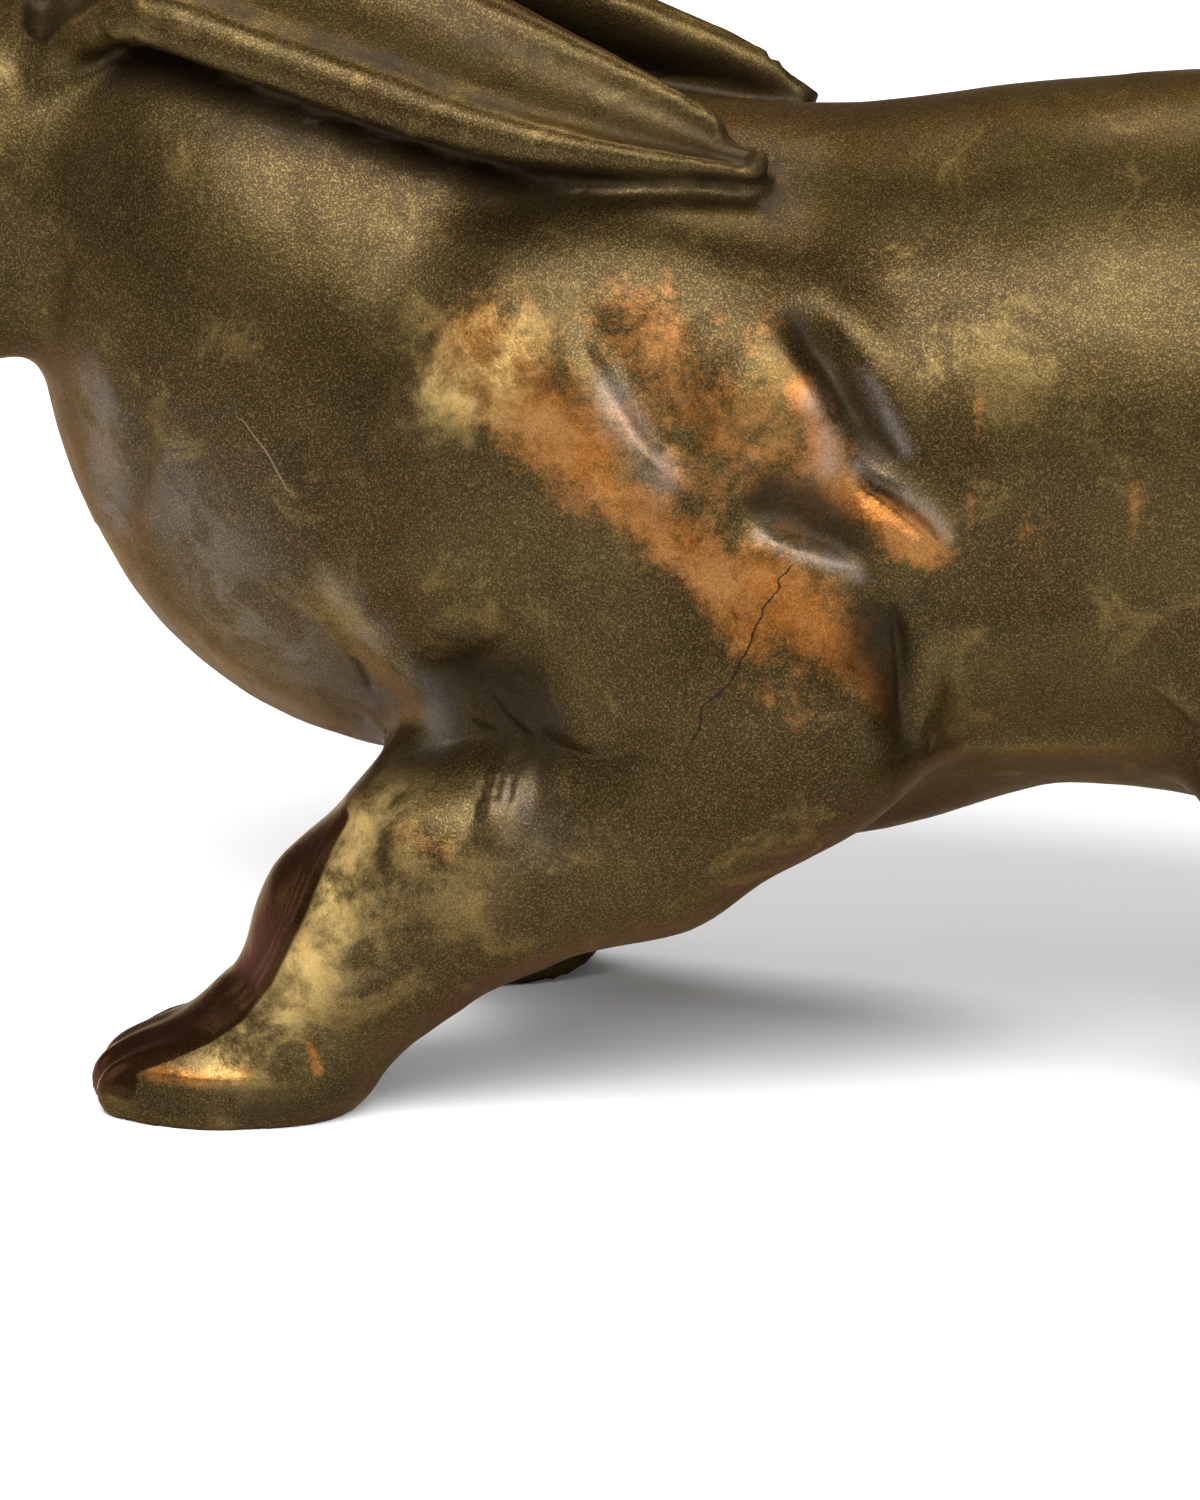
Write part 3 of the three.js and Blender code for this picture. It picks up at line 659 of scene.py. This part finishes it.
# Grey: painted highlights and reflections, a greyish sheen along the ridges, on the breast and on the elbow.
GREY_HIGHLIGHT = drawn([
    (2.4, 0.42, [(608, 388), (620, 418), (639, 448), (663, 478)]),
    (1.3, 0.35, [(762, 536), (791, 552), (826, 562), (858, 574)]),
    (1.1, 0.32, [(866, 375), (888, 415), (905, 450)]),
    (1.3, 0.32, [(858, 469), (898, 486), (929, 508), (946, 533)]),
    (1.8, 0.4, [(812, 400), (822, 430), (830, 465)]),
    (11, 0.3, [(190, 520), (230, 600), (290, 660), (350, 700)]),
    (6, 0.42, [(96, 400), (104, 440), (108, 500), (128, 566), (160, 616), (220, 666), (300, 712)]),
    (5, 0.12, [(505, 800), (535, 830)]),
    (4, 0.22, [(342, 594), (381, 644), (418, 680), (434, 727)]),
])
# Darker brown along the jaw's underside: painted shade under the jaw.
JAW_SHADE = drawn([
    (4, 0.3, [(118, 398), (180, 420), (250, 430)]),
])
# Gold: painted highlights on the shoulder's top and down the foreleg, partly over the foreleg's golden
# patina.
GOLD_AND_HIGHLIGHT = drawn([
    (7, 0.85, [(366, 815), (356, 830), (344, 860), (328, 905)]),
    (6.5, 0.8, [(330, 930), (302, 975), (272, 1015), (238, 1043)]),
    (8, 0.2, [(410, 840), (450, 870)]),
    (6.5, 0.95, [(450, 382), (500, 364)]),
    (7, 0.3, [(400, 850), (360, 900), (350, 960)]),
])
# Dark marks in hollows and creases: partly dark wax, partly painted shade, as in the armpit and under the
# jaw.
DIRT_AND_SHADE = drawn([
    (2.6, 0.55, [(545, 472), (590, 508), (625, 545), (665, 592), (700, 645)]),
    (2.2, 0.7, [(620, 388), (645, 428), (668, 458)]),
    (2.6, 0.55, [(640, 505), (668, 520)]),
    (2.4, 0.6, [(690, 398), (706, 430)]),
    (2.4, 0.6, [(735, 455), (760, 478)]),
    (2, 0.5, [(700, 470), (716, 490)]),
    (4.6, 1.2, [(766, 500), (806, 516), (846, 540)]),
    (3.2, 0.8, [(800, 322), (826, 362), (862, 425), (898, 470)]),
    (4.2, 0.5, [(776, 648), (840, 672), (890, 655)]),
    (1.4, 0.9, [(895, 612), (905, 660), (909, 755)]),
    (5, 0.8, [(862, 598), (884, 650), (896, 700), (900, 750)]),
    (7.5, 0.75, [(474, 672), (505, 692), (540, 725)]),
    (3, 0.6, [(418, 655), (438, 690), (450, 728)]),
    (2.2, 0.8, [(104, 397), (118, 397)]),
    (2.4, 0.7, [(116, 486), (122, 512)]),
    (4.5, 0.6, [(362, 788), (385, 770), (420, 756)]),
    (2, 0.45, [(286, 450), (298, 490)]),
    (5, 0.3, [(850, 690), (880, 740)]),
    (3.2, 0.4, [(720, 362), (740, 372)]),
    (2.4, 0.4, [(930, 575), (926, 600)]),
    (4, 0.75, [(130, 1094), (190, 1104), (262, 1108), (330, 1098), (350, 1082)]),
])
CRACK, SCRATCH, LEG_EDGE = on_skin([
    [(790, 568), (778, 579), (780, 589), (763, 607), (762, 617), (753, 631), (750, 644), (740, 664),
        (732, 680), (719, 694), (702, 707), (701, 717), (699, 730), (692, 742)],
    [(244, 422), (265, 452), (285, 490)],
    [(345, 800), (345, 812), (334, 836), (319, 871), (304, 908), (282, 952), (267, 982), (238, 1019),
        (204, 1041), (171, 1056), (130, 1072)],
])
# The foreleg's golden front edge, from the floor up: ahead of it the leg is brown.
LEG_EDGE = LEG_EDGE[np.argsort(LEG_EDGE[:, 2])]


def spread(p, marks):
    """How strongly a point is covered by the marks, from 0 to 1."""
    total = np.zeros(len(p))
    for width, strength, line in marks:
        close = near(p, line, 2.5 * width)
        if close.any():
            gap = beside(p[close], line)[0]
            total[close] = np.maximum(total[close], strength * np.exp(-((gap / width) ** 2)))
    return total


def across(p, line):
    """Signed distance to a hairline: it runs straight from corner to corner, so the line stays thin."""
    gap, _, _, side = beside(p, line)
    return np.where(side < 0, -gap, gap)


def leg_front(p):
    """The brown band down the front of the left foreleg."""
    x, y, z = p.T
    band = smoothstep(-2.7, 0.3, np.interp(z, LEG_EDGE[:, 2], LEG_EDGE[:, 0]) - x)
    return band * smoothstep(54, 49, z) * smoothstep(3, 8, z) * smoothstep(-22, -36, y)


def box(p, x0, x1, z0, z1, soft):
    """A soft-edged patch on both sides of the body."""
    x, y, z = p.T
    across_x = smoothstep(x0 - soft, x0 + soft, x) * smoothstep(x1 + soft, x1 - soft, x)
    across_z = smoothstep(z0 - soft, z0 + soft, z) * smoothstep(z1 + soft, z1 - soft, z)
    return across_x * across_z * smoothstep(20, 32, np.abs(y))


# %% Store the masks on the mesh
def store(name, values):
    layer = skin.data.attributes.new(name, "FLOAT", "POINT")
    layer.data.foreach_set("value", np.clip(values, -50, 50).astype(np.float32))


mirrored = base * (1, -1, 1)
shifted = mirrored - (STRIDE, 0, 0)
close_in, wide_out = [np.clip(1 - anatomy(base + reach * out) / reach, 0, 1) for reach in (5, 14)]
proud = np.clip(1 + anatomy(base - 6 * out) / 6, 0, 1)
# Hollow: painted shade where the form closes in over a point and in the creases, with dark wax in the
# hollows.
dirt_and_shade = spread(base, DIRT_AND_SHADE) + 0.7 * spread(mirrored, DIRT_AND_SHADE)
store("hollow", 0.9 * close_in + 0.5 * wide_out + np.maximum(-carved, 0) / 6 + 0.8 * dirt_and_shade)
store("crest", 0.8 * proud + np.maximum(carved, 0) / 1.6)
store("copper", spread(base, COPPER) + 0.7 * spread(mirrored, COPPER))
# Painted grey highlights and reflections.
store("grey_highlight", spread(base, GREY_HIGHLIGHT) + 0.6 * spread(mirrored, GREY_HIGHLIGHT))
# Brown: the foreleg's brown front is its patina; the brown under the jaw is painted shade.
store("brown_and_jaw_shade", leg_front(base) + leg_front(shifted) + spread(base, JAW_SHADE) + spread(mirrored, JAW_SHADE))
# Gold: painted highlights, partly over the foreleg's golden patina.
store("gold_and_highlight", spread(base, GOLD_AND_HIGHLIGHT) + spread(shifted, GOLD_AND_HIGHLIGHT[:2]))
store("shade", 0.9 * box(base, -75, -30, 88, 122, 10))
store("drips", box(base, 58, 128, 96, 126, 9))
store("blotch", box(base, 4, 50, 94, 128, 12))
store("crack", across(base, CRACK))
store("scratch", across(base, SCRATCH))
print("masks:", [a.name for a in skin.data.attributes if a.data_type == "FLOAT"])

# %% [markdown]
# The metal is one material. Noises of several sizes break the patina's edges, a fine grain scatters golden
# specks over it, and the same noises roughen it and give it its cast texture.

# %% Start the material
bronze = bpy.data.materials.new("patinated_bronze")
bronze.use_nodes = True
tree = bronze.node_tree
tree.nodes.clear()


def add(kind, inputs=(), **settings):
    """A shader node with its settings, its inputs joined to sockets or set to values."""
    made = tree.nodes.new(kind)
    made.location = (len(tree.nodes) % 12 * 190, -(len(tree.nodes) // 12) * 320)
    for name, value in settings.items():
        setattr(made, name, value)
    for socket, value in dict(inputs).items():
        if isinstance(value, bpy.types.NodeSocket):
            tree.links.new(value, made.inputs[socket])
        else:
            made.inputs[socket].default_value = value
    return made


def mask(name):
    return add("ShaderNodeAttribute", attribute_name=name).outputs["Fac"]


def grade(value, low, high, to_low=0.0, to_high=1.0):
    inputs = {"Value": value, "From Min": low, "From Max": high, "To Min": to_low, "To Max": to_high}
    return add("ShaderNodeMapRange", inputs, interpolation_type="SMOOTHSTEP").outputs["Result"]


def maths(operation, a, b, clamp=False):
    return add("ShaderNodeMath", {0: a, 1: b}, operation=operation, use_clamp=clamp).outputs[0]


def mix(share, a, b):
    made = add("ShaderNodeMix", {0: share}, data_type="RGBA")
    for socket, value in ((6, a), (7, b)):
        if isinstance(value, bpy.types.NodeSocket):
            tree.links.new(value, made.inputs[socket])
        else:
            made.inputs[socket].default_value = (*value, 1)
    return made.outputs[2]


place_on = add("ShaderNodeTexCoord").outputs["Object"]


def noise_of(scale, detail=4.0, rough=0.6, lean=0.0, at=None):
    inputs = {"Vector": at or place_on, "Scale": scale, "Detail": detail, "Roughness": rough}
    inputs["Distortion"] = lean
    return add("ShaderNodeTexNoise", inputs).outputs["Fac"]


# %% Colours of the patina
OLIVE, UMBER = (0.040, 0.027, 0.0090), (0.026, 0.016, 0.0054)
RUBBED, COPPER_RED, COPPER_PALE = (0.13, 0.086, 0.028), (0.27, 0.090, 0.014), (0.29, 0.125, 0.036)
# Deep brown-black colours the dark wax and the painted shade; gold colours the specks and the painted
# highlights.
DEEP, WARM_BROWN, GOLDEN_SPECK_AND_HIGHLIGHT = (0.010, 0.0065, 0.003), (0.026, 0.011, 0.003), (0.55, 0.385, 0.14)
# Lavender-grey is the colour of the painted highlights.
LAVENDER_HIGHLIGHT, EDGE_TINT = (0.23, 0.20, 0.185), (0.62, 0.44, 0.22)

clouds = noise_of(26, 5, 0.55, 0.6)
mottle = noise_of(120, 5, 0.65, 0.3)
fine = noise_of(620, 4, 0.7)
grain = noise_of(3400, 2, 0.5)
hollow, crest, copper = mask("hollow"), mask("crest"), mask("copper")

ground = mix(grade(clouds, 0.38, 0.64), OLIVE, UMBER)
ground = mix(maths("MULTIPLY", mask("shade"), grade(mottle, 0.3, 0.6, 0.3, 0.9)), ground, UMBER)
ground = mix(maths("MULTIPLY", grade(crest, 0.25, 1.1), grade(mottle, 0.3, 0.65, 0.2, 0.8)), ground, RUBBED)
ground = mix(grade(noise_of(48, 6, 0.68, 0.8), 0.52, 0.66, 0.0, 0.55), ground, UMBER)
ground = mix(grade(noise_of(64, 6, 0.7, 0.6), 0.54, 0.68, 0.0, 0.5), ground, RUBBED)

# Copper breaks through with a ragged edge; on the flank it runs down in faint drips.
downward = add("ShaderNodeMapping", {"Vector": place_on, "Scale": (1, 1, 0.13)}).outputs["Vector"]
drips = maths("MULTIPLY", mask("drips"), grade(noise_of(150, 2, 0.5, at=downward), 0.5, 0.68, 0.0, 0.42))
blotch = maths("MULTIPLY", mask("blotch"), grade(noise_of(75, 4, 0.6), 0.45, 0.62, 0.0, 0.66))
copper = maths("MAXIMUM", copper, maths("MAXIMUM", drips, blotch))
edge = maths("ADD", copper, maths("MULTIPLY", maths("SUBTRACT", mottle, 0.5), 1.9))
edge = maths("ADD", edge, maths("MULTIPLY", maths("SUBTRACT", fine, 0.5), 1.1))
bare = maths("MULTIPLY", grade(edge, 0.18, 1.1, 0.0, 0.84), grade(copper, 0.05, 0.3))
copper_tone = mix(grade(mottle, 0.42, 0.6), COPPER_RED, COPPER_PALE)
coloured = mix(bare, ground, copper_tone)

# Painted golden highlights, partly over the foreleg's golden patina.
golden_and_highlight = maths("MULTIPLY", mask("gold_and_highlight"), grade(mottle, 0.38, 0.64, 0.12, 1.0), clamp=True)
coloured = mix(golden_and_highlight, coloured, GOLDEN_SPECK_AND_HIGHLIGHT)
# The brown front of the forelegs, and painted shade under the jaw.
brown_and_jaw_shade = grade(maths("ADD", mask("brown_and_jaw_shade"), maths("MULTIPLY", maths("SUBTRACT", mottle, 0.5), 0.3)), 0.25, 0.6)
coloured = mix(brown_and_jaw_shade, coloured, WARM_BROWN)
# Painted shade in the hollows and creases, partly dark wax.
ragged = maths("MULTIPLY", maths("SUBTRACT", mottle, 0.5), 1.1)
dark = grade(maths("ADD", hollow, ragged), 0.15, 1.3, 0.0, 0.9)
coloured = mix(dark, coloured, DEEP)
# Painted grey highlights and reflections along the ridges.
grey_highlight_share = maths("MULTIPLY", mask("grey_highlight"), grade(mottle, 0.36, 0.6, 0.3, 1.0))
coloured = mix(grey_highlight_share, coloured, LAVENDER_HIGHLIGHT)

# A fine grain of dark wax and golden metal lies over everything.
coloured = mix(grade(grain, 0.34, 0.54, 0.24, 0.0), coloured, DEEP)
speck = maths("MULTIPLY", grade(grain, 0.48, 0.7, 0.0, 0.12), grade(dark, 0.1, 0.8, 1.0, 0.2))
speck = maths("MULTIPLY", speck, grade(brown_and_jaw_shade, 0.0, 1.0, 1.0, 0.25))
coloured = mix(speck, coloured, GOLDEN_SPECK_AND_HIGHLIGHT)

# %% The hairline crack and the scratch
wander = maths("MULTIPLY", maths("SUBTRACT", fine, 0.5), 0.9)
crack = grade(maths("ABSOLUTE", maths("ADD", mask("crack"), wander), 0.0), 0.07, 0.2, 1.0, 0.0)
scratch = grade(maths("ABSOLUTE", mask("scratch"), 0.0), 0.05, 0.2, 1.0, 0.0)
coloured = mix(maths("MULTIPLY", crack, 0.9), coloured, (0.012, 0.01, 0.008))
coloured = mix(maths("MULTIPLY", scratch, 0.45), coloured, (0.22, 0.18, 0.11))

# %% Roughness, bump and the shader itself
roughness = maths("ADD", grade(mottle, 0.25, 0.75, 0.34, 0.5), grade(bare, 0.0, 1.0, 0.0, -0.04))
roughness = maths("ADD", roughness, maths("MULTIPLY", maths("MAXIMUM", dark, grey_highlight_share), 0.12))
roughness = maths("SUBTRACT", roughness, maths("MULTIPLY", brown_and_jaw_shade, 0.14), clamp=True)
height = maths("ADD", maths("MULTIPLY", fine, 0.00016), maths("MULTIPLY", grain, 0.00003))
height = maths("ADD", height, maths("MULTIPLY", mottle, 0.0003))
height = maths("SUBTRACT", height, maths("MULTIPLY", crack, 0.0003))
bump = add("ShaderNodeBump", {"Height": height, "Strength": 0.55, "Distance": 1.0}).outputs["Normal"]
shader = add("ShaderNodeBsdfPrincipled", {
    "Base Color": coloured,
    "Metallic": grade(dark, 0.2, 1.0, 0.85, 0.5),
    "Roughness": roughness,
    "Normal": bump,
    "Specular IOR Level": 0.15,
    "Specular Tint": (*EDGE_TINT, 1),
    "Coat Weight": 0.05,
    "Coat Roughness": 0.24,
})
add("ShaderNodeOutputMaterial", {"Surface": shader.outputs[0]})
skin.data.materials.clear()
skin.data.materials.append(bronze)
print("material nodes:", len(tree.nodes))

# %% Put the skin in the model's place
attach(skin, "root")
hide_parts("rabbit")

# %% [markdown]
# The rabbit stands on a plain pale floor under soft studio light: a large soft box in front, a weaker one on
# the right, one high behind that lightens the shadow, a dim card low on the left, and dim surroundings that
# the metal can mirror.

# %% The floor
bpy.ops.mesh.primitive_plane_add(size=12)
floor = bpy.context.object
floor.name = "floor"
pale = bpy.data.materials.new("pale_paper")
pale.use_nodes = True
pale.node_tree.nodes["Principled BSDF"].inputs["Base Color"].default_value = (0.9, 0.9, 0.9, 1)
pale.node_tree.nodes["Principled BSDF"].inputs["Roughness"].default_value = 0.95
pale.node_tree.nodes["Principled BSDF"].inputs["Specular IOR Level"].default_value = 0.0
floor.data.materials.append(pale)


# %% The soft boxes
def soft_box(name, azimuth, elevation, distance, size, watts, tint=(1, 1, 1)):
    a, e = math.radians(azimuth), math.radians(elevation)
    toward = Vector((math.sin(a) * math.cos(e), -math.cos(a) * math.cos(e), math.sin(e)))
    light = bpy.data.lights.new(name, "AREA")
    light.shape = "RECTANGLE"
    light.size, light.size_y = size
    light.energy = watts
    light.color = tint
    lamp = bpy.data.objects.new(name, light)
    lamp.location = toward * distance
    lamp.rotation_mode = "QUATERNION"
    lamp.rotation_quaternion = toward.to_track_quat("Z", "Y")
    bpy.context.scene.collection.objects.link(lamp)
    return lamp


soft_box("key", -10, 50, 2.6, (2.0, 1.4), 104)
soft_box("fill", 44, 38, 2.6, (1.5, 1.1), 44)
soft_box("back", 176, 60, 2.8, (1.6, 1.0), 40)
soft_box("edge card", -95, 16, 1.9, (1.0, 0.8), 5, (0.92, 0.9, 1.0))

world = bpy.data.worlds.new("studio")
bpy.context.scene.world = world
world.use_nodes = True
world.node_tree.nodes["Background"].inputs["Color"].default_value = (1.0, 0.98, 0.96, 1)
world.node_tree.nodes["Background"].inputs["Strength"].default_value = 0.34

# %% The camera, at the photograph's view
lens = bpy.data.cameras.new("camera")
lens.sensor_width = 36
lens.lens = FOCAL / TALL * lens.sensor_width
camera = bpy.data.objects.new("camera", lens)
camera.location = (AIM - DRAWN_AT + DISTANCE * AWAY) * MM
camera.rotation_mode = "QUATERNION"
camera.rotation_quaternion = Vector(AWAY).to_track_quat("Z", "Y")
bpy.context.scene.collection.objects.link(camera)
bpy.context.scene.camera = camera
bpy.context.scene.view_settings.view_transform = "Standard"
